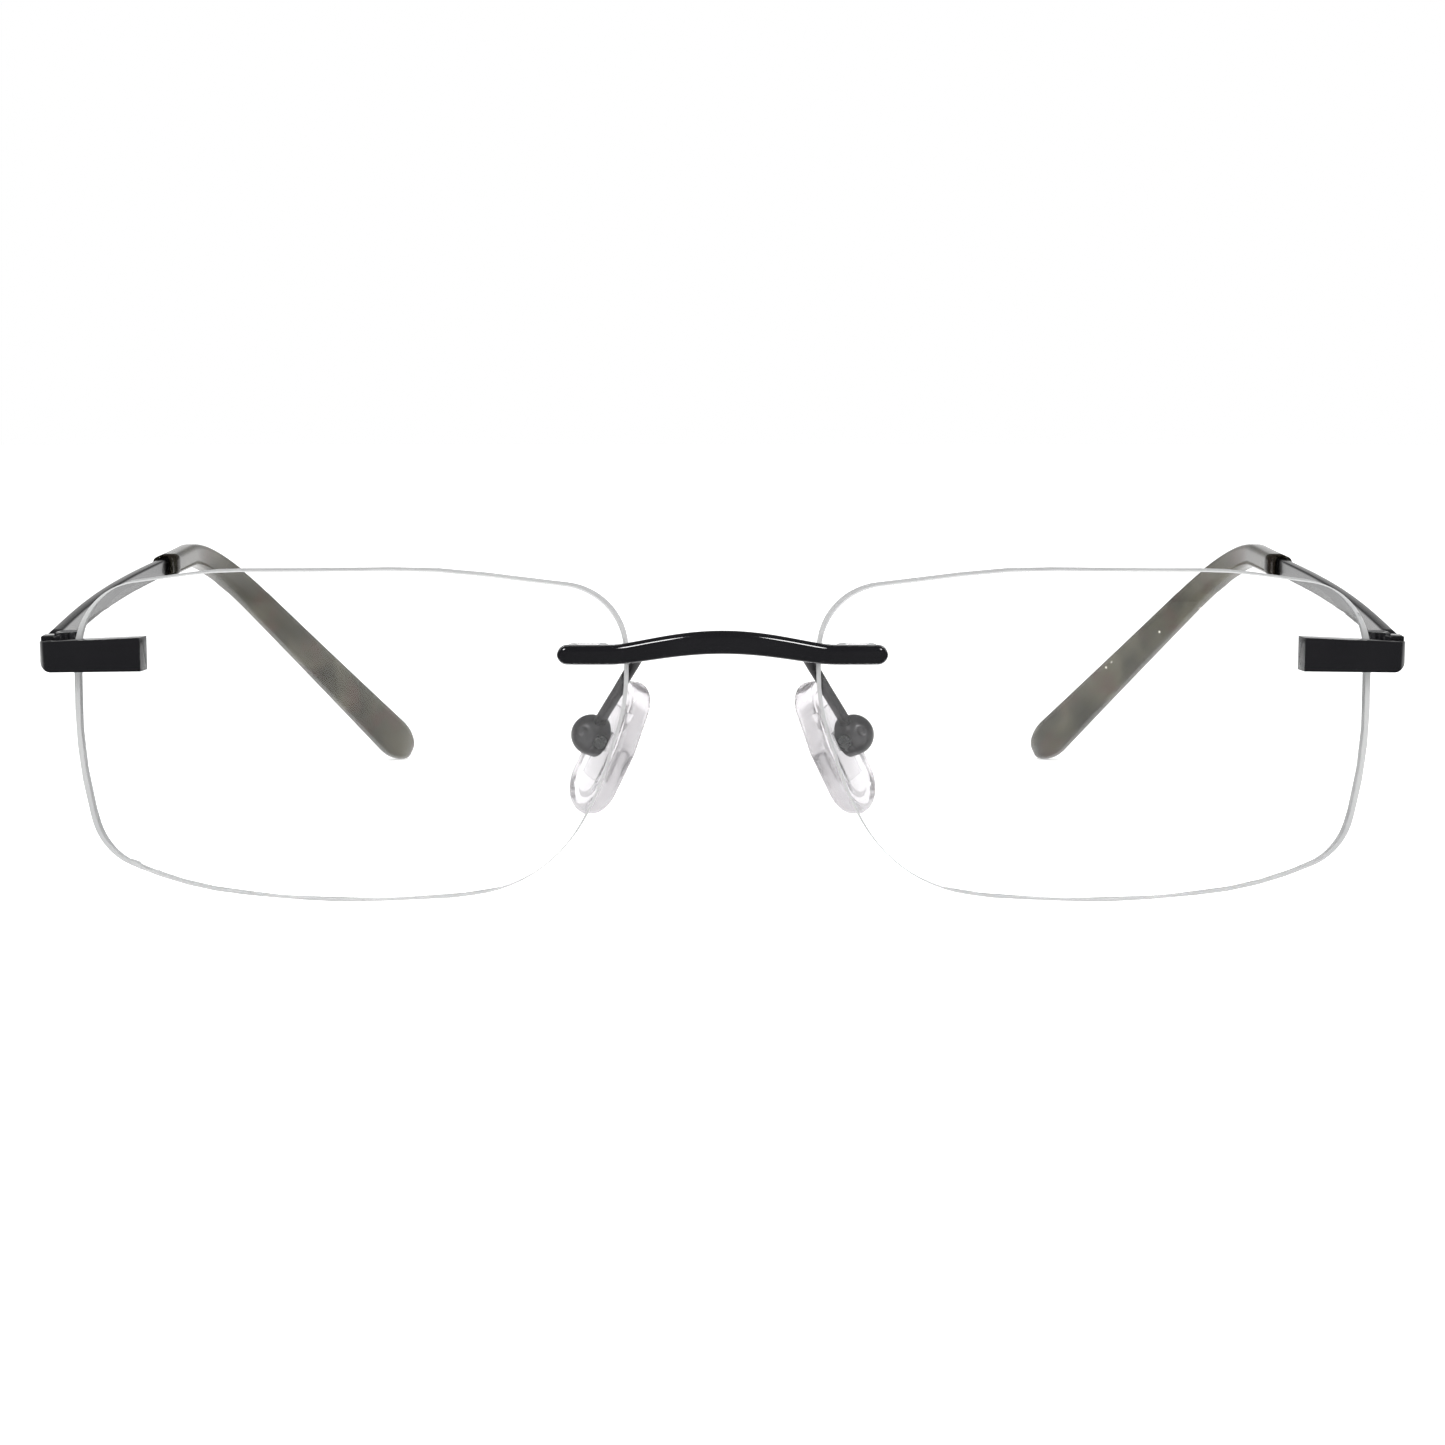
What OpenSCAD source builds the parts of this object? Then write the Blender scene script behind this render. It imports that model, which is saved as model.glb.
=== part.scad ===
// Rimless eyeglasses: two bare lenses on a bridge bar and two end pieces, hinged temples, silicone nose pads.
// Everything is drawn as worn, with +Y to the back of the head, and then pitched to stand on its lenses and tips.
// Parts are drawn for the wearer's left (+X) and mirrored for the wearer's right.

/* [Lenses] */
// Width of each lens
lens_w = 54; // [50:0.5:56]
// Height of each lens
lens_h = 32.3; // [30:0.1:35]
// Distance between the two lenses
lens_gap = 18.6; // [17:0.2:21]
// Thickness of each lens
lens_t = 2.2; // [1.8:0.1:2.6]
// Radius of the front surface
lens_r = 130; // [110:5:180]
// Wrap of each lens round the face, in degrees
wrap = 7; // [4:0.5:9]

/* [Bridge] */
// Reach of the bridge bar from the middle to each end
bridge_reach = 15.6; // [15:0.1:18]
// Height of the bar over the lenses
bridge_h = 1.9; // [1.6:0.05:2.4]
// Height of the bar in the middle of the arch
bridge_mid_h = 2.2; // [2:0.05:2.8]
// Depth of the bar, front to back
bridge_d = 1.5; // [1.2:0.1:2]
// Rise of the arch
bridge_rise = 1.35; // [0.5:0.05:2]
// How far the arch stands forward of its ends
bridge_bow = 1.2; // [0.5:0.1:2.5]
// Height of the bar's ends above the bottom of the lenses
bridge_z = 24.5; // [23:0.05:26]

/* [End pieces] */
// Height of the end piece at its inner end
end_h = 3.3; // [2.8:0.05:3.4]
// Depth of the bar over the lens
end_d = 1.4; // [1.2:0.1:1.8]
// Outer face of the return, from the middle of the frame
end_x = 66.2; // [66:0.1:67]
// Thickness of the return
end_t = 1.2; // [1:0.05:1.3]

/* [Hinges] */
// Hinge axis, from the middle of the frame
hinge_x = 63.9; // [63.6:0.1:64]
// Hinge axis, behind the nasal edge of the lenses
hinge_y = 10.3; // [10:0.1:11]
// Middle of the hinge above the bottom of the lenses
hinge_z = 23.6; // [23.3:0.1:23.8]
// Radius of the knuckles
knuckle_r = 1.0; // [0.9:0.05:1.05]
// Height of the middle knuckle
knuckle_h = 1.0; // [0.8:0.1:1.2]
// Radius of the hinge screw
hinge_screw_r = 0.5; // [0.4:0.05:0.6]

/* [Temples] */
// Height of the temple arm at the hinge
arm_h = 2.2; // [2:0.1:2.4]
// Height of the temple arm where it enters the tip
arm_end_h = 1.9; // [1.7:0.1:2.1]
// Thickness of the temple arm
arm_t = 1.2; // [1:0.05:1.3]
// Diameter of the core wire inside the tip
core_d = 1.3; // [1:0.1:1.5]
// Radius of the bend behind the ear
bend_r = 27.5; // [22:0.5:32]
// Height and thickness of the tip at its mouth
tip_mouth = [2.5, 2.6]; // [2.4:0.1:3.2]
// Height and thickness of the tip at its far end
tip_end = [5.1, 3.1]; // [2.8:0.1:5.4]

/* [Nose pads] */
// Length of each pad
pad_l = 14.0; // [12:0.2:15]
// Width of each pad
pad_w = 7.0; // [6.5:0.1:8]
// Thickness of each pad
pad_t = 2.4; // [2:0.1:2.8]
// Angle that opens the pads towards the face
pad_splay = 30; // [24:1:36]
// Angle that opens the pads towards the bottom
pad_lean = 25; // [20:1:30]

/* [Hidden] */
right = -1;
left = 1;

// The frame stands pitched forward by this angle, because the tips hang lower than the lenses
rest_pitch = 4.2;
rest_drop = 0.19;
// The row's origin is under the middle of the whole object
origin_y = 64;

// Lens outline: corners of a polygon from the nasal top, as parts of the width and the height, with their radii
lens_corners = [
    [0.000, 0.936, 6.5], [-0.002, 0.606, 19], [0.050, 0.330, 27.5], [0.138, 0.062, 14],
    [0.308, 0.020, 14.5], [0.515, 0.000, 61], [0.795, 0.020, 39], [0.960, 0.122, 6],
    [0.998, 0.395, 46], [0.998, 0.918, 7.5], [0.730, 0.988, 40], [0.330, 1.004, 62]
];
lens_centre = [lens_w / 2, lens_h / 2];
lens_edge_sag = lens_r - sqrt(lens_r * lens_r - lens_w * lens_w / 4);

// Mounting holes, pins and plugs
hole_r = 0.75;
plug_r = 0.73;
plug_bore_r = 0.52;
pin_r = 0.5;
plug_plate_t = 0.4;
bridge_hole_x = [lens_gap / 2 + 2.1, lens_gap / 2 + 4.9];
bridge_back_y = -0.25;
bridge_hole_z = bridge_z - 0.2;
pin_sink = 0.6;

// The end piece follows the lens surface at its mount, so it turns by the wrap and the slope of the sphere there
mount_u = 50.5;
mount_z = 23.7;
mount_turn = wrap + asin((mount_u - lens_centre[0]) / lens_r);
mount_sag = lens_edge_sag - lens_r
    + sqrt(lens_r * lens_r - pow(mount_u - lens_centre[0], 2) - pow(mount_z - lens_centre[1], 2));
mount_x = lens_gap / 2 + mount_u * cos(wrap) + mount_sag * sin(wrap);
mount_y = mount_u * sin(wrap) - mount_sag * cos(wrap);
end_hole_s = [-1.9, 1.3];
end_gap = 0.08;
end_inner_s = -4.5;
end_bottom = 22.38;

running = 0.05;
knuckle_gap = 0.05;
hinge_h = 3 * knuckle_h + 2 * knuckle_gap;
return_x = end_x - end_t;

// Temple centre line: straight from the hinge to the bend corner, then straight to the tip's end
temple_start = [return_x + arm_t / 2, hinge_y + running, hinge_z + 0.1];
shoulder = [65.35, 73.6, 24.1];
bend_corner = [65.3, 100, 23.15];
temple_end = [45.05, 129.2, -5.95];
mouth = shoulder - [0, 1.6, 0];
// How far the middle of the arm stands out and up from a straight line
arm_bow = [0.9, 0, 0.35];
core_stop = 4.2;
// The tip closes over this length, with its point towards the upper edge
tip_cap_l = 4.6;
tip_cap_lift = 0.2;

lug_r = 1.0;
box_r = 2.0;
box_wall = 0.45;
box_rim = 0.85;
pad_screw_r = 0.4;
pad_screw_head_r = 0.62;
pad_centre = [11.05, 9.9, 13.75];
box_offset = [2.6, 0, 0.65];
// The pad arm passes between the lens and the nose, then runs back and down to the box
pad_arm_w = 1.15;
pad_arm_t = 0.85;
pad_arm_line = [
    [8.2, -0.7, 24.3], [8.2, 0.6, 24.2], [8.2, 1.7, 24.0], [8.27, 2.6, 23.5], [8.67, 3.35, 22.7],
    [9.3, 4.1, 21.6], [10.06, 5.0, 20.2], [10.86, 6.0, 18.8], [11.53, 6.9, 17.6], [12.05, 7.68, 16.6]
];

function unit(v) = v / norm(v);

// Arc that rounds the corner b between a and c with radius r
function corner_arc(a, b, c, r) =
    let (
        p = unit(a - b),
        q = unit(c - b),
        half = acos(p * q) / 2,
        centre = b + unit(p + q) * r / sin(half),
        from = b + p * r / tan(half) - centre,
        to = b + q * r / tan(half) - centre,
        start = atan2(from[1], from[0]),
        swing = atan2(to[1], to[0]) - start,
        turn = swing > 180 ? swing - 360 : swing < -180 ? swing + 360 : swing,
        steps = max(2, ceil(abs(turn) / 5))
    )
    [for (i = [0:steps]) centre + r * [cos(start + turn * i / steps), sin(start + turn * i / steps)]];

function rounded_outline(corners) =
    let (n = len(corners))
    [for (i = [0:n - 1])
        let (
            a = corners[(i + n - 1) % n],
            b = corners[i],
            c = corners[(i + 1) % n]
        )
        for (p = corner_arc([a[0], a[1]], [b[0], b[1]], [c[0], c[1]], b[2])) p];

// Points on a line from a to b, without b
function line_points(a, b, n) = [for (i = [0:n - 1]) a + (b - a) * i / n];

// Path from a to c with its corner at b rounded to radius r, in three dimensions
function bent_path(a, b, c, r, n_in, n_arc, n_out) =
    let (
        p = unit(a - b),
        q = unit(c - b),
        half = acos(p * q) / 2,
        from = b + p * r / tan(half),
        to = b + q * r / tan(half),
        centre = b + unit(p + q) * r / sin(half),
        e = unit(from - centre),
        f = unit(cross(cross(e, unit(to - centre)), e)),
        swing = 180 - 2 * half
    )
    concat(
        line_points(a, from, n_in),
        [for (i = [0:n_arc]) centre + r * (e * cos(swing * i / n_arc) + f * sin(swing * i / n_arc))],
        [for (i = [1:n_out]) to + (c - to) * i / n_out]
    );

// Distance along a path up to point i
function travel(path, i) = i == 0 ? 0 : travel(path, i - 1) + norm(path[i] - path[i - 1]);

// Rounded rectangle of thickness t and height h, with m points on each corner
function ring(t, h, r, m) =
    [for (k = [0:3], i = [0:m - 1])
        let (
            a = 90 * k + 90 * i / (m - 1),
            sx = (k == 0 || k == 3) ? 1 : -1,
            sz = k < 2 ? 1 : -1
        )
        [sx * (t / 2 - r) + r * cos(a), sz * (h / 2 - r) + r * sin(a)]];

// A ring set square across the path at point i, with its height kept as upright as the path lets it
function placed_ring(path, i, shape) =
    let (
        n = len(path),
        tangent = unit(path[min(i + 1, n - 1)] - path[max(i - 1, 0)]),
        across = unit(cross(tangent, [0, 0, 1])),
        rise = cross(across, tangent)
    )
    [for (p = shape) path[i] + across * p[0] + rise * p[1]];

function loop_faces(n_rings, m, base) =
    [for (i = [0:n_rings - 2], j = [0:m - 1])
        let (k = (j + 1) % m)
        for (f = [0, 1])
            f == 0
                ? [base + i * m + j, base + (i + 1) * m + k, base + (i + 1) * m + j]
                : [base + i * m + j, base + i * m + k, base + (i + 1) * m + k]];

function flipped(faces) = [for (f = faces) [for (i = [len(f) - 1:-1:0]) f[i]]];

// A closed solid through a list of rings
module skin(rings) {
    m = len(rings[0]);
    n = len(rings);
    polyhedron(
        points = [for (r = rings) for (p = r) p],
        faces = concat(
            loop_faces(n, m, 0),
            [[for (j = [m - 1:-1:0]) j]],
            [[for (j = [0:m - 1]) (n - 1) * m + j]]
        ),
        convexity = 10
    );
}

// A sleeve: an outer skin and a blind inner skin that share one mouth
module sleeve(outer, inner) {
    m = len(outer[0]);
    a = len(outer);
    b = len(inner);
    polyhedron(
        points = concat([for (r = outer) for (p = r) p], [for (r = inner) for (p = r) p]),
        faces = concat(
            loop_faces(a, m, 0),
            [[for (j = [0:m - 1]) (a - 1) * m + j]],
            flipped(loop_faces(b, m, a * m)),
            [[for (j = [m - 1:-1:0]) (a + b - 1) * m + j]],
            [for (j = [0:m - 1])
                let (k = (j + 1) % m)
                for (f = [0, 1])
                    f == 0 ? [j, a * m + k, k] : [j, a * m + j, a * m + k]]
        ),
        convexity = 10
    );
}

module place(side) {
    translate([0, -origin_y, -rest_drop])
        rotate([rest_pitch, 0, 0])
            mirror([side < 0 ? 1 : 0, 0, 0])
                children();
}

// Local lens axes: X from the nasal edge outwards, Y back, Z up from the bottom
module lens_axes() {
    translate([lens_gap / 2, 0, 0])
        rotate([0, 0, wrap])
            children();
}

// Local end piece axes: X along the lens surface outwards, Y square into the lens
module end_axes() {
    translate([mount_x, mount_y, mount_z])
        rotate([0, 0, mount_turn])
            children();
}

module pad_axes() {
    translate(pad_centre)
        rotate([0, -pad_lean, 0])
            rotate([0, 0, -pad_splay])
                children();
}

// A rod along +Y from y = from to y = to
module rod_y(r, from, to) {
    translate([0, from, 0])
        rotate([-90, 0, 0])
            cylinder(h = to - from, r = r, $fn = 72);
}

module rod_z(r, from, to) {
    translate([0, 0, from])
        cylinder(h = to - from, r = r, $fn = 72);
}

module lens_blank() {
    outline = rounded_outline([for (c = lens_corners) [c[0] * lens_w, c[1] * lens_h, c[2]]]);
    sphere_centre = [lens_centre[0], lens_r - lens_edge_sag, lens_centre[1]];
    difference() {
        intersection() {
            translate([0, 12, 0])
                rotate([90, 0, 0])
                    linear_extrude(height = 24)
                        polygon(outline);
            translate(sphere_centre) sphere(r = lens_r, $fn = 256);
        }
        translate(sphere_centre) sphere(r = lens_r - lens_t, $fn = 256);
    }
}

module lens(side) {
    color("lightcyan", 0.3)
        place(side)
            difference() {
                lens_axes() lens_blank();
                for (x = bridge_hole_x)
                    translate([x, 0, bridge_hole_z]) rod_y(hole_r, -4, 6);
                end_axes()
                    for (s = end_hole_s)
                        translate([s, 0, 0]) rod_y(hole_r, -4, 6);
            }
}

// Two legs through the lens and a plate behind it
module double_plug(at, plate_h, back) {
    middle = (at[0] + at[1]) / 2;
    half = (at[1] - at[0]) / 2;
    difference() {
        union() {
            for (x = at)
                translate([x, 0, 0]) rod_y(plug_r, back - lens_t, back + 0.2);
            translate([middle - half, back, -plate_h / 2])
                cube([2 * half, plug_plate_t, plate_h]);
            for (x = at)
                translate([x, 0, 0]) rod_y(plate_h / 2, back, back + plug_plate_t);
        }
        for (x = at)
            translate([x, 0, 0]) rod_y(plug_bore_r, back - 6, back + 6);
    }
}

module bridge_plug(side) {
    color("whitesmoke")
        place(side)
            translate([0, 0, bridge_hole_z])
                double_plug(bridge_hole_x, 1.6, 2.62);
}

module end_plug(side) {
    color("whitesmoke")
        place(side)
            end_axes()
                double_plug(end_hole_s, 2.2, lens_t + 0.12);
}

// Share of the arch at x: one in the middle, none where the bar lies on the lens
function arch(x) =
    let (t = min(1, abs(x) / 10.5))
    pow(1 - t * t, 1.6);

// The bar's ends are round in front view, so the rings close up there
bridge_r = bridge_h / 2;
bridge_round = [for (a = [84:-14:14]) bridge_r * (1 - sin(a))];
bridge_steps = 46;
bridge_half = bridge_reach - bridge_r;
bridge_xs = concat(
    [for (d = bridge_round) d - bridge_reach],
    [for (i = [0:bridge_steps]) bridge_half * (2 * i / bridge_steps - 1)],
    [for (i = [len(bridge_round) - 1:-1:0]) bridge_reach - bridge_round[i]]
);
bridge_line = [for (x = bridge_xs)
    [x, bridge_back_y - bridge_d / 2 - bridge_bow * arch(x), bridge_z + bridge_rise * arch(x)]];

function bridge_end(x) =
    let (left_over = bridge_reach - abs(x))
    left_over >= bridge_r ? 1 : sqrt(1 - pow(1 - left_over / bridge_r, 2));

module bridge_bar() {
    color("#17171a")
        place(left)
            skin([for (i = [0:len(bridge_line) - 1])
                let (
                    x = bridge_line[i][0],
                    grow = arch(x),
                    h = (bridge_h + (bridge_mid_h - bridge_h) * grow) * bridge_end(x),
                    d = bridge_d * (0.5 + 0.5 * bridge_end(x))
                )
                placed_ring(bridge_line, i, ring(d, h, min(d, h) * 0.42, 5))]);
}

module bridge_pins() {
    color("silver")
        for (side = [right, left])
            place(side)
                for (x = bridge_hole_x)
                    translate([x, 0, bridge_hole_z])
                        rod_y(pin_r, bridge_back_y - pin_sink, 2.8);
}

// Plan of the end piece: along the lens, round the corner and back to the hinge
function end_plan() =
    let (
        d = [cos(mount_turn), sin(mount_turn)],
        n = [sin(mount_turn), -cos(mount_turn)],
        base = [mount_x, mount_y],
        back = base + n * end_gap,
        front = base + n * (end_gap + end_d),
        front_corner = front + d * (end_x - front[0]) / d[0],
        back_corner = back + d * (return_x - back[0]) / d[0]
    )
    concat(
        [back + d * end_inner_s, front + d * end_inner_s],
        corner_arc(front, front_corner, [end_x, 30], 2),
        [[end_x, hinge_y], [return_x, hinge_y]],
        corner_arc([return_x, 30], back_corner, back, 0.7)
    );

// Front view of the end piece: it tapers and drops outwards, and its lower corner is round
end_profile = rounded_outline([
    [54, end_bottom, 0.4], [54, end_bottom + end_h, 0.3],
    [end_x + 0.02, end_bottom + 2.22, 0.3], [end_x + 0.02, end_bottom - 0.72, 1.3]
]);

module end_piece(side) {
    color("#17171a")
        place(side)
            intersection() {
                translate([0, 0, 18])
                    linear_extrude(height = 10)
                        polygon(end_plan());
                union() {
                    rotate([90, 0, 0])
                        translate([0, 0, -9])
                            linear_extrude(height = 12)
                                polygon(end_profile);
                    translate([return_x - 0.5, 8.2, hinge_z - arm_h / 2])
                        cube([4, 4, arm_h + 0.2]);
                }
            }
}

module end_pins(side) {
    color("silver")
        place(side)
            end_axes()
                for (s = end_hole_s)
                    translate([s, 0, 0])
                        rod_y(pin_r, -end_gap - pin_sink, lens_t + 0.3);
}

module hinge_axes() {
    translate([hinge_x, hinge_y, hinge_z])
        children();
}

// Two outer knuckles on a leaf that is soldered inside the return
module hinge_front_leaf(side) {
    leaf_x = return_x - hinge_x;
    outer = knuckle_h / 2 + knuckle_gap;
    color("#2a2a2e")
        place(side)
            hinge_axes()
                difference() {
                    union() {
                        for (z = [-hinge_h / 2, outer]) {
                            rod_z(knuckle_r, z, z + knuckle_h);
                            translate([0, -1.6, z]) cube([leaf_x, 1.6, knuckle_h]);
                        }
                        translate([0.35, -2.3, -hinge_h / 2])
                            cube([leaf_x - 0.35, 1.2, hinge_h - 0.2]);
                    }
                    rod_z(hinge_screw_r + 0.02, -3, 3);
                    rod_z(knuckle_r * 0.8, hinge_h / 2 - 0.35, 3);
                    rod_z(knuckle_r + 0.12, -outer, outer);
                }
}

module hinge_screw(side) {
    color("silver")
        place(side)
            hinge_axes()
                difference() {
                    union() {
                        rod_z(hinge_screw_r, -hinge_h / 2 - 0.1, hinge_h / 2 - 0.2);
                        rod_z(knuckle_r * 0.78, hinge_h / 2 - 0.33, hinge_h / 2);
                    }
                    translate([-1, -0.1, hinge_h / 2 - 0.15]) cube([2, 0.2, 1]);
                }
}

// One middle knuckle on a leaf that is soldered inside the temple arm
module hinge_temple_leaf(side) {
    leaf_x = return_x - hinge_x;
    color("#2a2a2e")
        place(side)
            hinge_axes()
                difference() {
                    union() {
                        rod_z(knuckle_r, -knuckle_h / 2, knuckle_h / 2);
                        translate([0, 0, -knuckle_h / 2]) cube([leaf_x, 2.4, knuckle_h]);
                        translate([0.45, 1.4, -1]) cube([leaf_x - 0.45, 3, 2]);
                    }
                    rod_z(hinge_screw_r + running, -3, 3);
                }
}

arm_steps = 18;
arm_line = [for (i = [0:arm_steps])
    temple_start + (shoulder - [0, 0.1, 0] - temple_start) * i / arm_steps + arm_bow * sin(180 * i / arm_steps)];
temple_line = concat(arm_line, bent_path(shoulder, bend_corner, temple_end, bend_r, 2, 16, 12));

// Rings of the arm: a flat bar up to the shoulder inside the mouth, then the round core
function arm_ring(i) =
    let (
        bar = i <= arm_steps,
        h = bar ? arm_h + (arm_end_h - arm_h) * i / arm_steps : core_d
    )
    ring(bar ? arm_t : core_d, h, bar ? 0.25 : core_d * 0.49, 4);

temple_len = travel(temple_line, len(temple_line) - 1);
core_last = len([for (i = [0:len(temple_line) - 1])
    if (travel(temple_line, i) < temple_len - core_stop) i]) - 1;

module temple_arm(side) {
    color("#1b1b1e")
        place(side)
            skin([for (i = [0:core_last]) placed_ring(temple_line, i, arm_ring(i))]);
}

tip_line = bent_path(mouth, bend_corner, temple_end, bend_r, 4, 20, 22);
tip_len = travel(tip_line, len(tip_line) - 1);

function tip_size(share) = tip_mouth + (tip_end - tip_mouth) * pow(share, 1.7);

function tip_ring(i) =
    let (
        share = travel(tip_line, i) / tip_len,
        size = tip_size(share)
    )
    ring(size[1], size[0], min(size) * (0.30 + 0.12 * share), 6);

// The tip closes in a rounded end
tip_cap = let (
        n = len(tip_line),
        way = unit(tip_line[n - 1] - tip_line[n - 2]),
        lift = cross(unit(cross(way, [0, 0, 1])), way) * tip_cap_lift
    )
    [for (a = [12:12:84]) [tip_line[n - 1] + way * sin(a) * tip_cap_l + lift * (1 - cos(a)), cos(a)]];

function cap_ring(c) =
    let (
        n = len(tip_line),
        shape = tip_ring(n - 1),
        from = placed_ring(tip_line, n - 1, shape)
    )
    [for (p = from) c[0] + (p - tip_line[n - 1]) * c[1]];

// The blind hole that the core wire fills: a shallow socket for the arm, then a round hole
core_points = [for (i = [arm_steps + 1:core_last]) temple_line[i]];

module temple_tip(side) {
    socket = ring(arm_t + 0.06, arm_end_h + 0.08, 0.25, 6);
    bore = ring(core_d + 0.06, core_d + 0.06, core_d * 0.49, 6);
    socket_line = [mouth, shoulder + [0, 0.02, 0]];
    core_end = core_points[len(core_points) - 1];
    last = core_end + unit(core_end - core_points[len(core_points) - 2]) * 0.1;
    bore_line = concat([for (i = [1:len(core_points) - 2]) core_points[i]], [last]);
    color("#8c8672", 0.8)
        place(side)
            sleeve(
                concat(
                    [for (i = [0:len(tip_line) - 1]) placed_ring(tip_line, i, tip_ring(i))],
                    [for (c = tip_cap) cap_ring(c)]
                ),
                concat(
                    [for (i = [0:1]) placed_ring(socket_line, i, socket)],
                    [placed_ring([socket_line[1] + [0, 0.03, 0], bore_line[0]], 0, bore)],
                    [for (i = [0:len(bore_line) - 1]) placed_ring(bore_line, i, bore)]
                )
            );
}

module pad_blank() {
    top_r = pad_w / 2 - 0.7;
    low_r = pad_w / 2;
    edge = 0.75;
    hull()
        for (disc = [[pad_l / 2 - top_r, top_r], [0.4, low_r + 0.1], [low_r - pad_l / 2, low_r]])
            translate([0, 0, disc[0]])
                rotate([0, -90, 0])
                    rotate_extrude($fn = 32)
                        polygon([
                            [0, -pad_t / 2], [disc[1] - edge, -pad_t / 2], [disc[1] - 0.2, -pad_t / 2 + 0.2],
                            [disc[1], -0.3], [disc[1] - 0.25, 0.4], [disc[1] - edge, pad_t / 2 - 0.25],
                            [disc[1] - 2, pad_t / 2], [0, pad_t / 2]
                        ]);
}

module nose_pad(side) {
    color("white", 0.5)
        place(side)
            pad_axes()
                pad_blank();
}

// Hard plate inside the silicone with the lug that the pad box holds
module pad_lug(side) {
    reach = box_offset[0];
    color("gainsboro")
        place(side)
            pad_axes()
                translate([0, 0, box_offset[2]])
                    difference() {
                        union() {
                            translate([0, -1.5, -4]) cube([0.6, 3, 7.4]);
                            translate([0.3, -0.7, -lug_r]) cube([reach - 0.3, 1.4, 2 * lug_r]);
                            translate([reach, 0, 0]) rod_y(lug_r, -0.7, 0.7);
                        }
                        translate([reach, 0, 0]) rod_y(pad_screw_r + running, -3, 3);
                    }
}

// A domed cup, open towards the pad, with two crimp marks
crimps = [[0.842, -0.518, 0.145], [0.03, -0.9, -0.436]];
crimp_r = 0.8;
crimp_depth = 0.22;

module cup_form(r) {
    rotate([0, 90, 0])
        rotate_extrude($fn = 72)
            polygon(concat(
                [[0, -box_rim], [r, -box_rim]],
                [for (a = [0:10:80]) [r * cos(a), r * sin(a)]],
                [[0, r]]
            ));
}

module pad_box(side) {
    color("#3a383a")
        place(side)
            pad_axes()
                translate(box_offset)
                    difference() {
                        cup_form(box_r);
                        translate([-0.2, 0, 0]) cup_form(box_r - box_wall);
                        rod_y(pad_screw_r + 0.02, -3, 3);
                        rod_y(pad_screw_head_r + 0.04, -3, -1.8);
                        for (c = crimps)
                            translate(c * (box_r + crimp_r - crimp_depth)) sphere(r = crimp_r, $fn = 24);
                    }
}

module pad_screw(side) {
    color("silver")
        place(side)
            pad_axes()
                translate(box_offset)
                    difference() {
                        union() {
                            rod_y(pad_screw_r, -1.9, 1.95);
                            rod_y(pad_screw_head_r, -2.15, -1.8);
                        }
                        translate([-1, -3, -0.1]) cube([2, 1, 0.2]);
                    }
}

module pad_arm(side) {
    color("#464446")
        place(side)
            skin([for (i = [0:len(pad_arm_line) - 1])
                placed_ring(pad_arm_line, i, ring(pad_arm_w, pad_arm_t, 0.3, 4))]);
}

bridge_bar();
bridge_pins();
lens(right);  // lens_right
lens(left);  // lens_left
bridge_plug(right);  // bridge_plug_right
bridge_plug(left);  // bridge_plug_left
end_piece(right);  // end_piece_right
end_piece(left);  // end_piece_left
end_pins(right);  // end_pins_right
end_pins(left);  // end_pins_left
end_plug(right);  // end_plug_right
end_plug(left);  // end_plug_left
hinge_front_leaf(right);  // hinge_front_leaf_right
hinge_front_leaf(left);  // hinge_front_leaf_left
hinge_screw(right);  // hinge_screw_right
hinge_screw(left);  // hinge_screw_left
hinge_temple_leaf(right);  // hinge_temple_leaf_right
hinge_temple_leaf(left);  // hinge_temple_leaf_left
temple_arm(right);  // temple_arm_right
temple_arm(left);  // temple_arm_left
temple_tip(right);  // temple_tip_right
temple_tip(left);  // temple_tip_left
pad_arm(right);  // pad_arm_right
pad_arm(left);  // pad_arm_left
pad_box(right);  // pad_box_right
pad_box(left);  // pad_box_left
pad_screw(right);  // pad_screw_right
pad_screw(left);  // pad_screw_left
pad_lug(right);  // pad_lug_right
pad_lug(left);  // pad_lug_left
nose_pad(right);  // nose_pad_right
nose_pad(left);  // nose_pad_left
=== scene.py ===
import math
import bmesh
import bpy
from mathutils import Matrix, Vector
from mathutils.bvhtree import BVHTree


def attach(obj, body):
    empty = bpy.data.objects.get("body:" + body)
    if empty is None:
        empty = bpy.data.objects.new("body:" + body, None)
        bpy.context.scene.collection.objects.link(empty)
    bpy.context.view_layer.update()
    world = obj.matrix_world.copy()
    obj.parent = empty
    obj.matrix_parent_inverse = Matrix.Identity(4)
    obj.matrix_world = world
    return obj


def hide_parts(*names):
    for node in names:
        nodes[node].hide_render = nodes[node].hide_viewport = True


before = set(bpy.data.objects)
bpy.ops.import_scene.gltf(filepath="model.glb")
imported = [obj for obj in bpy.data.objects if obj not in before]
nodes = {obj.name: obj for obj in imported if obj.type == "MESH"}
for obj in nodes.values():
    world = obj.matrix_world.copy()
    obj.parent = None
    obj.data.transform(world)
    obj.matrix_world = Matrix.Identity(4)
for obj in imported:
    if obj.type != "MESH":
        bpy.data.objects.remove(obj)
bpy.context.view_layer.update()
mm = 0.001
sides = {"right": -1, "left": 1}  # the wearer's own sides, with the left at +X
# the frame as worn is pitched and shifted to stand on its lenses and tips, as in the part's source
restPitch = math.radians(4.2)
restShift = (0, -64.0, -0.19)
standing = Matrix.Translation(restShift) @ Matrix.Rotation(restPitch, 4, "X")


def hexColour(code):
    parts = [int(code[i:i + 2], 16) / 255 for i in (1, 3, 5)]
    return tuple(p / 12.92 if p <= 0.04045 else ((p + 0.055) / 1.055) ** 2.4 for p in parts) + (1.0,)


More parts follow.
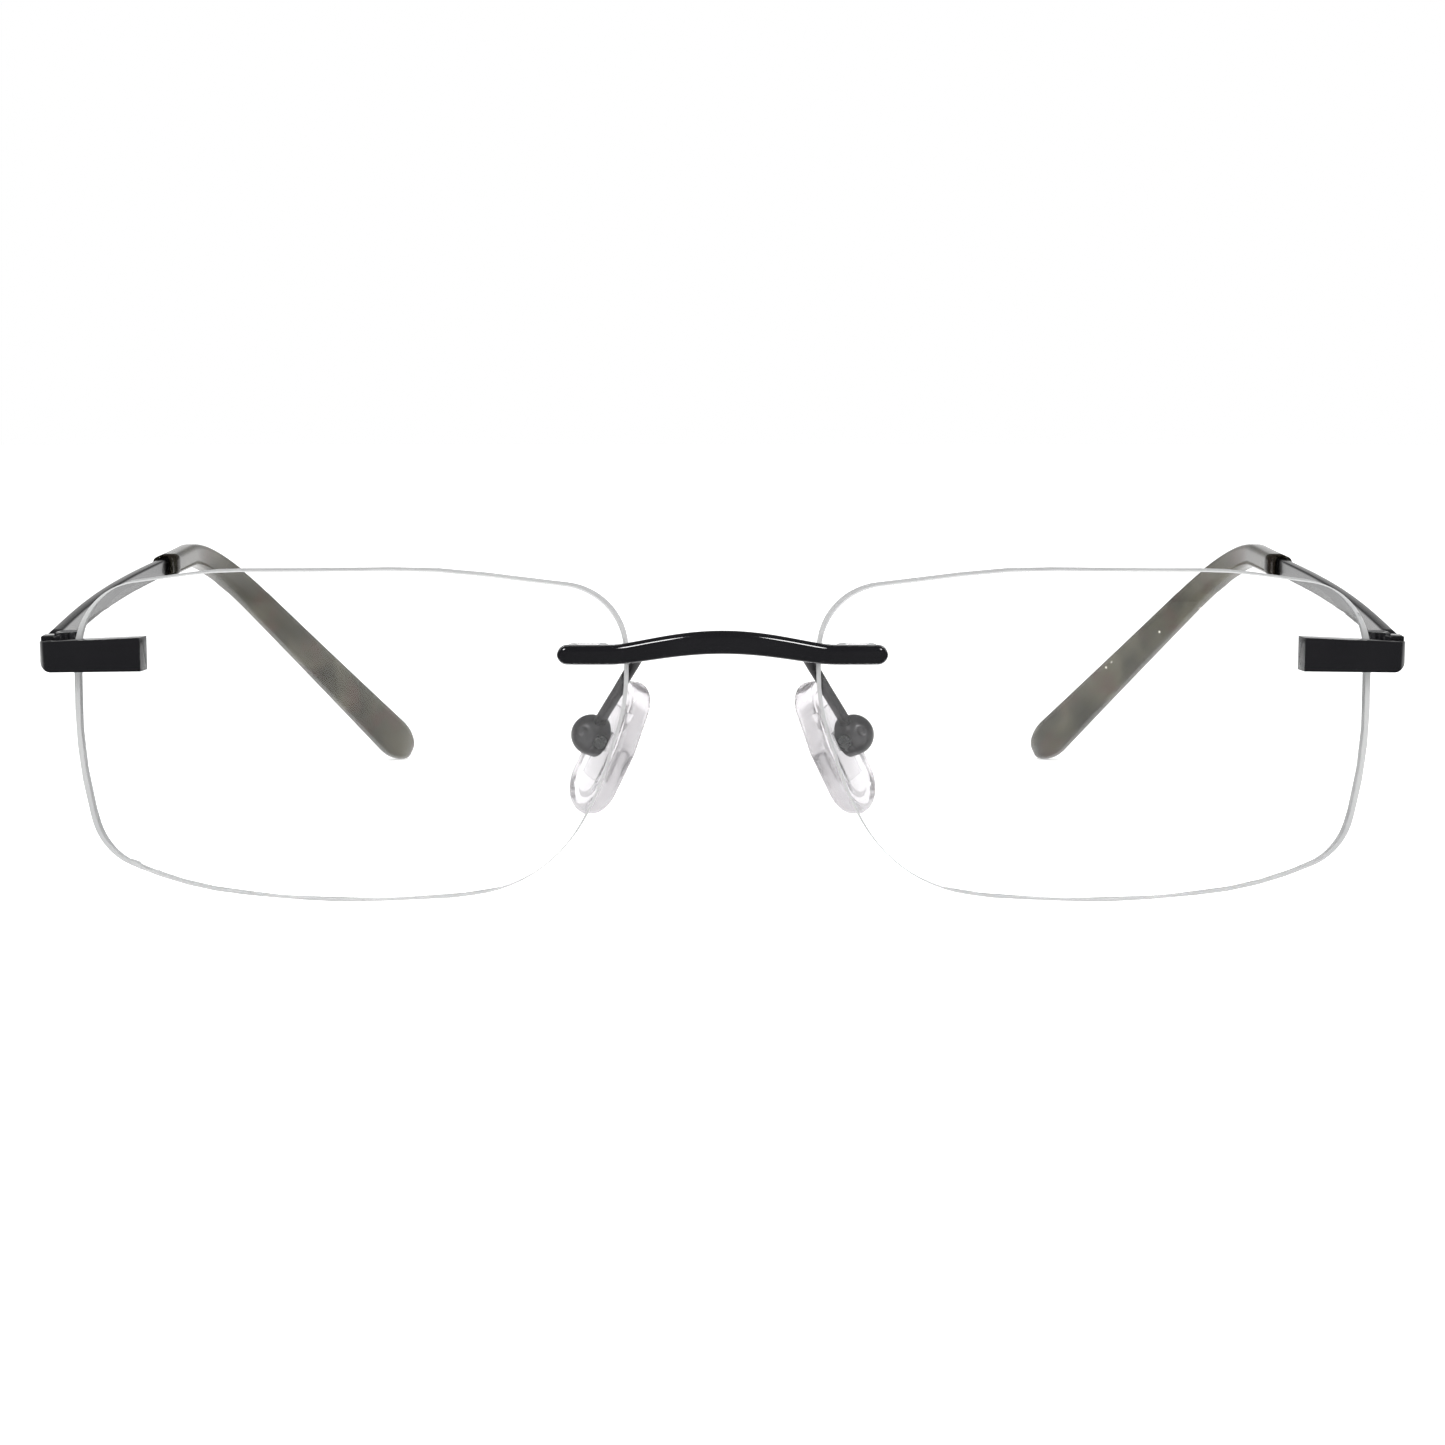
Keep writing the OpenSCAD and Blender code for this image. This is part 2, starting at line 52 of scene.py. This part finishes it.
def addNode(tree, kind, settings=None, links=None):
    node = tree.nodes.new("ShaderNode" + kind)
    for name, value in (settings or {}).items():
        if isinstance(name, int) or name in node.inputs:
            node.inputs[name].default_value = value
        else:
            setattr(node, name, value)
    for name, source in (links or {}).items():
        tree.links.new(source, node.inputs[name])
    return node.outputs


def perMm(size):
    return 1 / (size * mm)


def newMaterial(name):
    material = bpy.data.materials.new(name)
    material.use_nodes = True
    material.node_tree.nodes.clear()
    return material, material.node_tree


def castLensResin():
    # CR-39 lens resin, cast and polished: clear and colourless, with the faintest cloud of handling
    material, tree = newMaterial("castLensResin")
    place = addNode(tree, "TexCoord")["Object"]
    smear = addNode(tree, "TexNoise", {"Scale": perMm(9), "Detail": 2}, {"Vector": place})["Fac"]
    shade = addNode(tree, "Mix", {"data_type": "RGBA", 6: hexColour("#FBFCFC"), 7: hexColour("#FFFFFF")},
                    {0: smear})[2]
    resin = addNode(tree, "BsdfPrincipled", {"IOR": 1.498, "Roughness": 0.0, "Transmission Weight": 1.0},
                    {"Base Color": shade})[0]
    letThrough(tree, resin, "#FFFFFF")
    return material


def letThrough(tree, surface, shade):
    # lamps reach what is behind clear stock, as they do through the real one
    open_ = addNode(tree, "BsdfTransparent", {"Color": hexColour(shade)})[0]
    shadowRay = addNode(tree, "LightPath")["Is Shadow Ray"]
    both = addNode(tree, "MixShader", {}, {0: shadowRay, 1: surface, 2: open_})[0]
    addNode(tree, "OutputMaterial", {}, {"Surface": both})


def buffedLensEdge():
    # the same resin where the outline was ground and buffed: frosted, pale grey, hardly clear
    material, tree = newMaterial("buffedLensEdge")
    place = addNode(tree, "TexCoord")["Object"]
    grind = addNode(tree, "TexNoise", {"Scale": perMm(0.6), "Detail": 3}, {"Vector": place})["Fac"]
    broad = addNode(tree, "TexNoise", {"Scale": perMm(14), "Detail": 1}, {"Vector": place})["Fac"]
    shade = addNode(tree, "Mix", {"data_type": "RGBA", 6: hexColour("#9E9EA0"), 7: hexColour("#BABBBA")},
                    {0: broad})[2]
    rough = addNode(tree, "MapRange", {"To Min": 0.28, "To Max": 0.5}, {"Value": grind})[0]
    relief = addNode(tree, "Bump", {"Distance": 0.008 * mm}, {"Height": grind})[0]
    resin = addNode(tree, "BsdfPrincipled", {"IOR": 1.498, "Transmission Weight": 0.18},
                    {"Base Color": shade, "Roughness": rough, "Normal": relief})[0]
    letThrough(tree, resin, "#E0E0E0")
    return material


def blackLacquer(name, low, high, first, second):
    # stoved gloss lacquer over nickel silver: near black, wet-looking, with a slight orange peel
    material, tree = newMaterial(name)
    place = addNode(tree, "TexCoord")["Object"]
    peel = addNode(tree, "TexNoise", {"Scale": perMm(0.7), "Detail": 2}, {"Vector": place})["Fac"]
    patch = addNode(tree, "TexNoise", {"Scale": perMm(6), "Detail": 2}, {"Vector": place})["Fac"]
    shade = addNode(tree, "Mix", {"data_type": "RGBA", 6: hexColour(first), 7: hexColour(second)},
                    {0: patch})[2]
    rough = addNode(tree, "MapRange", {"To Min": low, "To Max": high}, {"Value": patch})[0]
    relief = addNode(tree, "Bump", {"Distance": 0.003 * mm}, {"Height": peel})[0]
    coat = addNode(tree, "BsdfPrincipled", {"IOR": 1.5, "Coat Weight": 0.35, "Coat Roughness": 0.05},
                   {"Base Color": shade, "Roughness": rough, "Normal": relief})[0]
    addNode(tree, "OutputMaterial", {}, {"Surface": coat})
    return material


def gunmetalPlating():
    # black nickel plating on formed wire: satin dark grey with a fine mottle
    material, tree = newMaterial("gunmetalPlating")
    place = addNode(tree, "TexCoord")["Object"]
    mottle = addNode(tree, "TexNoise", {"Scale": perMm(0.3), "Detail": 3}, {"Vector": place})["Fac"]
    shade = addNode(tree, "Mix", {"data_type": "RGBA", 6: hexColour("#1B191B"), 7: hexColour("#292729")},
                    {0: mottle})[2]
    rough = addNode(tree, "MapRange", {"To Min": 0.22, "To Max": 0.4}, {"Value": mottle})[0]
    relief = addNode(tree, "Bump", {"Distance": 0.004 * mm}, {"Height": mottle})[0]
    plating = addNode(tree, "BsdfPrincipled", {"Metallic": 0.35},
                      {"Base Color": shade, "Roughness": rough, "Normal": relief})[0]
    addNode(tree, "OutputMaterial", {}, {"Surface": plating})
    return material


def turnedMetal(name, first, second):
    # bright metal bar, turned on a lathe: fine marks round the axis and a soft shine
    material, tree = newMaterial(name)
    place = addNode(tree, "TexCoord")["Object"]
    along = addNode(tree, "Mapping", {"Scale": (1, 1, 3)}, {"Vector": place})[0]
    marks = addNode(tree, "TexNoise", {"Scale": perMm(0.2), "Detail": 2}, {"Vector": along})["Fac"]
    shade = addNode(tree, "Mix", {"data_type": "RGBA", 6: hexColour(first), 7: hexColour(second)},
                    {0: marks})[2]
    rough = addNode(tree, "MapRange", {"To Min": 0.2, "To Max": 0.36}, {"Value": marks})[0]
    relief = addNode(tree, "Bump", {"Distance": 0.003 * mm}, {"Height": marks})[0]
    metal = addNode(tree, "BsdfPrincipled", {"Metallic": 1.0},
                    {"Base Color": shade, "Roughness": rough, "Normal": relief})[0]
    addNode(tree, "OutputMaterial", {}, {"Surface": metal})
    return material


acetateTip = {"mouthY": 7.9, "thinOver": 7, "thinClear": 0.8}  # mm along Y, and how clear the mouth is


def smokedAcetate():
    # cellulose acetate, milled from sheet and tumbled: smoky olive with brown clouds and a few pale
    # specks, see-through only at its thin mouth, though lamps still shine a little way through it
    material, tree = newMaterial("smokedAcetate")
    place = addNode(tree, "TexCoord")["Object"]
    grain = addNode(tree, "Mapping", {"Scale": (1, 0.35, 0.6)}, {"Vector": place})[0]
    clouds = addNode(tree, "TexNoise", {"Scale": perMm(5), "Detail": 3, "Distortion": 0.8},
                     {"Vector": grain})["Fac"]
    brown = addNode(tree, "TexNoise", {"Scale": perMm(4), "Detail": 2}, {"Vector": place})["Fac"]
    lighter = addNode(tree, "MapRange", {"From Min": 0.35, "From Max": 0.65}, {"Value": clouds})[0]
    warmer = addNode(tree, "MapRange", {"From Min": 0.5, "From Max": 0.68, "To Max": 0.7},
                     {"Value": brown})[0]
    olive = addNode(tree, "Mix", {"data_type": "RGBA", 6: hexColour("#33312A"), 7: hexColour("#545145")},
                    {0: lighter})[2]
    warm = addNode(tree, "Mix", {"data_type": "RGBA", 7: hexColour("#4A3C36")}, {0: warmer, 6: olive})[2]
    cells = addNode(tree, "TexVoronoi", {"Scale": perMm(3)}, {"Vector": place})["Distance"]
    speck = addNode(tree, "MapRange", {"From Min": 0.04, "From Max": 0.055, "To Min": 1.0, "To Max": 0.0},
                    {"Value": cells})[0]
    colour = addNode(tree, "Mix", {"data_type": "RGBA", 7: hexColour("#F1EEDF")}, {0: speck, 6: warm})[2]
    rough = addNode(tree, "MapRange", {"To Min": 0.07, "To Max": 0.16}, {"Value": clouds})[0]
    relief = addNode(tree, "Bump", {"Distance": 0.015 * mm}, {"Height": clouds})[0]
    alongY = addNode(tree, "SeparateXYZ", {}, {"Vector": place})["Y"]
    thin = addNode(tree, "MapRange", {"From Min": acetateTip["mouthY"] * mm,
                                      "From Max": (acetateTip["mouthY"] + acetateTip["thinOver"]) * mm,
                                      "To Min": acetateTip["thinClear"], "To Max": 0.0},
                   {"Value": alongY})[0]
    acetate = addNode(tree, "BsdfPrincipled", {"IOR": 1.49},
                      {"Base Color": colour, "Roughness": rough, "Normal": relief,
                       "Transmission Weight": thin})[0]
    letThrough(tree, acetate, "#7D7967")
    return material


def gluedBore():
    # the wall of the bore, where the acetate has shrunk on to the core wire: nothing to see
    material, tree = newMaterial("gluedBore")
    clear = addNode(tree, "BsdfTransparent", {"Color": (1, 1, 1, 1)})[0]
    addNode(tree, "OutputMaterial", {}, {"Surface": clear})
    return material


def padSilicone():
    # clear silicone, moulded in a satin tool: faintly milky, with bright rounded edges
    material, tree = newMaterial("padSilicone")
    place = addNode(tree, "TexCoord")["Object"]
    milk = addNode(tree, "TexNoise", {"Scale": perMm(2.2), "Detail": 2}, {"Vector": place})["Fac"]
    shade = addNode(tree, "Mix", {"data_type": "RGBA", 6: hexColour("#CFCCCF"), 7: hexColour("#E9E7E9")},
                    {0: milk})[2]
    rough = addNode(tree, "MapRange", {"To Min": 0.04, "To Max": 0.16}, {"Value": milk})[0]
    relief = addNode(tree, "Bump", {"Distance": 0.015 * mm}, {"Height": milk})[0]
    silicone = addNode(tree, "BsdfPrincipled", {"IOR": 1.41, "Transmission Weight": 0.9},
                       {"Base Color": shade, "Roughness": rough, "Normal": relief})[0]
    letThrough(tree, silicone, "#EDECEC")
    return material


def clearMoulding(name, ior):
    # small clear injection moulding: glossy, with flow lines
    material, tree = newMaterial(name)
    place = addNode(tree, "TexCoord")["Object"]
    drawn = addNode(tree, "Mapping", {"Scale": (1, 1, 0.4)}, {"Vector": place})[0]
    flow = addNode(tree, "TexNoise", {"Scale": perMm(0.8), "Detail": 2}, {"Vector": drawn})["Fac"]
    shade = addNode(tree, "Mix", {"data_type": "RGBA", 6: hexColour("#F2F2F2"), 7: hexColour("#FCFCFC")},
                    {0: flow})[2]
    rough = addNode(tree, "MapRange", {"To Min": 0.02, "To Max": 0.08}, {"Value": flow})[0]
    relief = addNode(tree, "Bump", {"Distance": 0.006 * mm}, {"Height": flow})[0]
    plastic = addNode(tree, "BsdfPrincipled", {"IOR": ior, "Transmission Weight": 0.97},
                      {"Base Color": shade, "Roughness": rough, "Normal": relief})[0]
    letThrough(tree, plastic, "#FAFAFA")
    return material


finishes = {
    "lens": castLensResin(),
    "lensEdge": buffedLensEdge(),
    "bar": blackLacquer("glossLacquer", 0.06, 0.12, "#111113", "#1A1A1C"),
    "arm": blackLacquer("armLacquer", 0.16, 0.26, "#141416", "#1D1D20"),
    "wire": gunmetalPlating(),
    "screw": turnedMetal("turnedSteel", "#B9BABC", "#D2D3D5"),
    "pin": turnedMetal("nickelSilver", "#BDB7AA", "#D4CFC4"),
    "tip": smokedAcetate(),
    "bore": gluedBore(),
    "pad": padSilicone(),
    "plug": clearMoulding("plugNylon", 1.53),
    "lug": clearMoulding("lugPolycarbonate", 1.58),
}
print("materials made:", len(finishes))


def openCopy(nodeName, weldMm=0.002):
    work = bmesh.new()
    work.from_mesh(nodes[nodeName].data)
    bmesh.ops.remove_doubles(work, verts=work.verts, dist=weldMm * mm)
    bmesh.ops.recalc_face_normals(work, faces=work.faces)
    return work


def closeCopy(work, name, smoothAngle):
    mesh = bpy.data.meshes.new(name)
    for face in work.faces:
        face.smooth = True
    work.to_mesh(mesh)
    work.free()
    mesh.set_sharp_from_angle(angle=math.radians(smoothAngle))
    return mesh


def showCopy(nodeName, pieceName, body, materials, mesh):
    piece = bpy.data.objects.new(pieceName, mesh)
    bpy.context.scene.collection.objects.link(piece)
    for material in materials:
        mesh.materials.append(material)
    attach(piece, body)
    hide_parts(nodeName)
    return piece


def sharpEdges(work, angle):
    return [e for e in work.edges if len(e.link_faces) == 2 and e.calc_face_angle() > math.radians(angle)]


def bevelEdges(work, edges, widthMm, segments=3):
    bmesh.ops.bevel(work, geom=edges, offset=widthMm * mm, offset_type="OFFSET", segments=segments,
                    profile=0.5, affect="EDGES", material=-1, clamp_overlap=True)


def joinFlats(work, angle=0.5):
    bmesh.ops.dissolve_limit(work, angle_limit=math.radians(angle), verts=work.verts, edges=work.edges,
                             use_dissolve_boundaries=False)


for nodeName, finish in {
    "bridge_pins": "pin", "end_pins_right": "pin", "end_pins_left": "pin",
    "bridge_plug_right": "plug", "bridge_plug_left": "plug",
    "end_plug_right": "plug", "end_plug_left": "plug",
    "hinge_screw_right": "screw", "hinge_screw_left": "screw",
    "pad_screw_right": "screw", "pad_screw_left": "screw",
    "pad_lug_right": "lug", "pad_lug_left": "lug",
}.items():
    nodes[nodeName].data.materials.clear()
    nodes[nodeName].data.materials.append(finishes[finish])

bridge = {"smooth": 50, "joinFace": 40, "joinShape": 60}  # degrees
work = openCopy("bridge_bar")
bmesh.ops.join_triangles(work, faces=work.faces, angle_face_threshold=math.radians(bridge["joinFace"]),
                         angle_shape_threshold=math.radians(bridge["joinShape"]))
showCopy("bridge_bar", "bridge_bar_lacquered", "front", [finishes["bar"]],
         closeCopy(work, "bridgeBar", bridge["smooth"]))
print("bridge bar made")

lens = {
    "wrap": 7, "smooth": 20, "weld": 0.03, "faceSlope": 0.85,
    "bevelWidth": 0.12, "bevelDepth": 0.12,
    "frostAtTemple": 0.6, "frostBelow": 0.25,  # mm, how far the frost runs in
    "frostFrom": -100, "frostTo": 65, "frostStep": 5,  # degrees up from straight out to the temple
    "cutTolerance": 1e-7,
}


def clearFaces(work, inward, way):
    return [f for f in work.faces if f.material_index == 0 and f.normal.dot(inward) * way > 0]


def grindLens(work, side):
    # each face gets the narrow bevel that a glazier grinds round it, and the rim is frosted with it
    wrap = math.radians(lens["wrap"])
    inward = Vector((-side * math.sin(wrap), math.cos(wrap), 0))
    inward.rotate(Matrix.Rotation(restPitch, 3, "X"))
    for face in work.faces:
        face.material_index = 1
    for way in (-1, 1):
        polished = [f for f in work.faces if f.normal.dot(inward) * way > lens["faceSlope"]]
        for face in polished:
            face.material_index = 0
        ring = bmesh.ops.inset_region(work, faces=polished, thickness=lens["bevelWidth"] * mm,
                                      use_even_offset=False)["faces"]
        for face in ring:
            face.material_index = 1
        ringVerts = {v for f in ring for v in f.verts}
        outer = [v for v in ringVerts
                 if any(g.material_index == 1 and g not in ring for g in v.link_faces)]
        bmesh.ops.translate(work, verts=outer, vec=inward * -way * lens["bevelDepth"] * mm)
        # the frost runs further in at the temple and a little at the bottom: straight cuts all round
        # there part it from the polished face
        across = Vector((side * math.cos(wrap), math.sin(wrap), 0))
        upright = Vector((0, 0, 1))
        for axis in (across, upright):
            axis.rotate(Matrix.Rotation(restPitch, 3, "X"))
        for degrees in range(lens["frostFrom"], lens["frostTo"] + 1, lens["frostStep"]):
            turn = math.radians(degrees)
            outward = across * math.cos(turn) + upright * math.sin(turn)
            width = (lens["frostBelow"] * min(0, math.sin(turn)) ** 2
                     + lens["frostAtTemple"] * max(0, math.cos(turn)) ** 2)
            reach = max(v.co.dot(outward) for v in outer) - width * mm
            faces = clearFaces(work, inward, way)
            edges = list({e for f in faces for e in f.edges})
            verts = list({v for f in faces for v in f.verts})
            bmesh.ops.bisect_plane(work, geom=faces + edges + verts, dist=lens["cutTolerance"],
                                   plane_co=outward * reach, plane_no=outward)
            for face in clearFaces(work, inward, way):
                if face.calc_center_median().dot(outward) > reach:
                    face.material_index = 1


endPiece = {"bevel": 0.2, "segments": 3, "sharp": 35, "smooth": 35}
hingeLeaf = {"bevel": 0.05, "segments": 2, "sharp": 40, "smooth": 35}
temple = {"smooth": 50, "boreReach": 0.2}  # tip faces this near the core wire, in mm, are its bore
padFitting = {"armSmooth": 50, "boxSmooth": 35}
for sideName, side in sides.items():
    nodeName = "lens_" + sideName
    work = openCopy(nodeName, lens["weld"])
    grindLens(work, side)
    showCopy(nodeName, "lens_glazed_" + sideName, "front",
             [finishes["lens"], finishes["lensEdge"]], closeCopy(work, nodeName, lens["smooth"]))

    nodeName = "end_piece_" + sideName
    work = openCopy(nodeName)
    joinFlats(work)
    bevelEdges(work, sharpEdges(work, endPiece["sharp"]), endPiece["bevel"], endPiece["segments"])
    showCopy(nodeName, "end_piece_lacquered_" + sideName, "front", [finishes["bar"]],
             closeCopy(work, nodeName, endPiece["smooth"]))

    for nodeName, body in (("hinge_front_leaf_" + sideName, "front"),
                           ("hinge_temple_leaf_" + sideName, "temple_" + sideName)):
        work = openCopy(nodeName)
        joinFlats(work)
        bevelEdges(work, sharpEdges(work, hingeLeaf["sharp"]), hingeLeaf["bevel"], hingeLeaf["segments"])
        showCopy(nodeName, nodeName.replace("leaf", "leaf_filed"), body, [finishes["arm"]],
                 closeCopy(work, nodeName, hingeLeaf["smooth"]))

    body = "temple_" + sideName
    nodeName = "temple_arm_" + sideName
    work = openCopy(nodeName)
    coreTree = BVHTree.FromBMesh(work)
    showCopy(nodeName, "temple_arm_lacquered_" + sideName, body, [finishes["arm"]],
             closeCopy(work, nodeName, temple["smooth"]))

    nodeName = "temple_tip_" + sideName
    work = openCopy(nodeName)
    for face in work.faces:
        distance = coreTree.find_nearest(face.calc_center_median())[3]
        face.material_index = 1 if distance < temple["boreReach"] * mm else 0
    showCopy(nodeName, "temple_tip_polished_" + sideName, body,
             [finishes["tip"], finishes["bore"]], closeCopy(work, nodeName, temple["smooth"]))

    nodeName = "pad_arm_" + sideName
    work = openCopy(nodeName)
    showCopy(nodeName, "pad_arm_plated_" + sideName, "front", [finishes["wire"]],
             closeCopy(work, nodeName, padFitting["armSmooth"]))

    nodeName = "pad_box_" + sideName
    work = openCopy(nodeName)
    showCopy(nodeName, "pad_box_plated_" + sideName, "front", [finishes["wire"]],
             closeCopy(work, nodeName, padFitting["boxSmooth"]))
print("lenses, end pieces, hinges, temples and pad boxes made")

nosePad = {
    "centre": (11.05, 9.9, 13.75), "lean": 25, "splay": 30,
    "discs": [(4.2, 2.8), (0.4, 3.58), (-3.5, 3.5)],  # height and radius, and the oval goes round them
    "waist": -0.3, "blankRadius": 0.5, "blankSides": 72, "blankThickness": 0.05, "smooth": 60,
    "boxSide": [(0.05, 0.42), (0.12, 0.38), (0.2, 0.3), (0.3, 0.22), (0.35, 0.02),
                (0.2, -0.3), (0.2, -0.12), (0.25, 0.03), (0.2, 0.16), (0.25, 0.06)],
    "noseSide": [(0.05, 0.25), (0.12, 0.22), (0.25, 0.17), (0.6, 0.13), (0.9, 0.08)],
}


def mouldPad(side):
    # an oval disc, wider at the bottom; each side is built up ring by ring towards its middle
    pad = bmesh.new()
    bmesh.ops.create_circle(pad, cap_ends=True, segments=nosePad["blankSides"],
                             radius=nosePad["blankRadius"])
    for vert in pad.verts:
        way = vert.co.normalized()
        height, radius = max(nosePad["discs"], key=lambda disc: disc[0] * way.y + disc[1])
        vert.co = Vector((0, height, 0)) + way * radius
    lower = pad.faces[:]
    upper = [g for g in bmesh.ops.extrude_face_region(pad, geom=lower, use_keep_orig=True)["geom"]
             if isinstance(g, bmesh.types.BMFace)]
    bmesh.ops.translate(pad, verts=upper[0].verts, vec=(0, 0, nosePad["blankThickness"]))
    bmesh.ops.recalc_face_normals(pad, faces=pad.faces)
    for cap, steps in ((upper, nosePad["boxSide"]), (lower, nosePad["noseSide"])):
        for width, height in steps:
            bmesh.ops.inset_region(pad, faces=cap, thickness=width, depth=height, use_even_offset=True)
    # lay it in place: its thickness along local X, its length along local Z
    turn = Matrix(((0, 0, 1), (1, 0, 0), (0, 1, 0))).to_4x4()
    place = (standing @ Matrix.Diagonal((side, 1, 1, 1)) @ Matrix.Translation(nosePad["centre"])
             @ Matrix.Rotation(math.radians(-nosePad["lean"]), 4, "Y")
             @ Matrix.Rotation(math.radians(-nosePad["splay"]), 4, "Z")
             @ Matrix.Translation((nosePad["waist"], 0, 0)) @ turn)
    bmesh.ops.transform(pad, matrix=Matrix.Scale(mm, 4) @ place, verts=pad.verts)
    bmesh.ops.recalc_face_normals(pad, faces=pad.faces)
    return pad


for sideName, side in sides.items():
    showCopy("nose_pad_" + sideName, "nose_pad_moulded_" + sideName, "pad_" + sideName,
             [finishes["pad"]], closeCopy(mouldPad(side), "nosePad_" + sideName, nosePad["smooth"]))
print("nose pads moulded")


paper = {"glow": 0.5, "radius": 6.0, "sides": 64}


def paleSweep():
    # matt white paper under even light
    material, tree = newMaterial("paleSweep")
    place = addNode(tree, "TexCoord")["Object"]
    fibre = addNode(tree, "TexNoise", {"Scale": perMm(4)}, {"Vector": place})["Fac"]
    shade = addNode(tree, "Mix", {"data_type": "RGBA", 6: hexColour("#F6F6F6"), 7: hexColour("#F9F9F9")},
                    {0: fibre})[2]
    sheet = addNode(tree, "BsdfPrincipled",
                    {"Roughness": 0.9, "Emission Color": (1, 1, 1, 1), "Emission Strength": paper["glow"]},
                    {"Base Color": shade})[0]
    addNode(tree, "OutputMaterial", {}, {"Surface": sheet})
    return material


work = bmesh.new()
bmesh.ops.create_circle(work, cap_ends=True, segments=paper["sides"], radius=paper["radius"])
floorMesh = bpy.data.meshes.new("floor")
work.to_mesh(floorMesh)
work.free()
floor = bpy.data.objects.new("floor", floorMesh)
bpy.context.scene.collection.objects.link(floor)
floorMesh.materials.append(paleSweep())
floor.visible_glossy = False

# a white room that is lit from behind the glasses: reflections see it dim in front and overhead
room = {"front": 0.06, "back": 1.0, "turnFrom": 0.2, "turnTo": 0.65,
        "wallFrom": 0.06, "wallTo": 0.3, "aboveWall": 0.08}
world = bpy.data.worlds.new("studio")
bpy.context.scene.world = world
world.use_nodes = True
tree = world.node_tree
tree.nodes.clear()
path = addNode(tree, "LightPath")
direction = addNode(tree, "TexCoord")["Generated"]
axes = addNode(tree, "SeparateXYZ", {}, {"Vector": direction})
around = addNode(tree, "MapRange", {"From Min": room["turnFrom"], "From Max": room["turnTo"],
                                    "To Min": room["front"], "To Max": room["back"]},
                 {"Value": axes["Y"]})[0]
seen = addNode(tree, "Math", {"operation": "MAXIMUM"},
               {0: path["Is Camera Ray"], 1: path["Is Transmission Ray"]})[0]
soft = addNode(tree, "Math", {"operation": "MAXIMUM"}, {0: path["Is Diffuse Ray"], 1: seen})[0]
wall = addNode(tree, "MapRange", {"From Min": room["wallFrom"], "From Max": room["wallTo"],
                                  "To Min": 1.0, "To Max": room["aboveWall"]}, {"Value": axes["Z"]})[0]
glow = addNode(tree, "Math", {"operation": "MULTIPLY"}, {0: around, 1: wall})[0]
strength = addNode(tree, "Math", {"operation": "MAXIMUM"}, {0: soft, 1: glow})[0]
sky = addNode(tree, "Background", {"Color": (1, 1, 1, 1)}, {"Strength": strength})[0]
addNode(tree, "OutputWorld", {}, {"Surface": sky})


def addSoftbox(name, place, target, size, power):
    light = bpy.data.lights.new(name, "AREA")
    light.shape = "RECTANGLE"
    light.size, light.size_y = size
    light.energy = power
    box = bpy.data.objects.new(name, light)
    box.location = place
    box.rotation_euler = (Vector(target) - Vector(place)).to_track_quat("-Z", "Y").to_euler()
    bpy.context.scene.collection.objects.link(box)
    return box


softbox = {"out": 0.225, "front": -0.34, "up": 0.37, "target": (0, -0.065, 0.02), "size": (0.12, 0.12),
           "power": 0.9}
for side in sides.values():
    addSoftbox("softbox", (side * softbox["out"], softbox["front"], softbox["up"]), softbox["target"],
               softbox["size"], softbox["power"])

shot = {"place": (0, -0.36392, 0.045994), "tiltDown": 5.43, "lens": 78.73, "sensor": 36,
        "clipStart": 0.01}
camera = bpy.data.cameras.new("camera")
camera.sensor_width = shot["sensor"]
camera.lens = shot["lens"]
camera.clip_start = shot["clipStart"]
view = bpy.data.objects.new("camera", camera)
view.location = shot["place"]
view.rotation_euler = (math.radians(90 - shot["tiltDown"]), 0, 0)
bpy.context.scene.collection.objects.link(view)
bpy.context.scene.camera = view
bpy.context.scene.view_settings.view_transform = "Standard"
print("stage, lights and camera set")
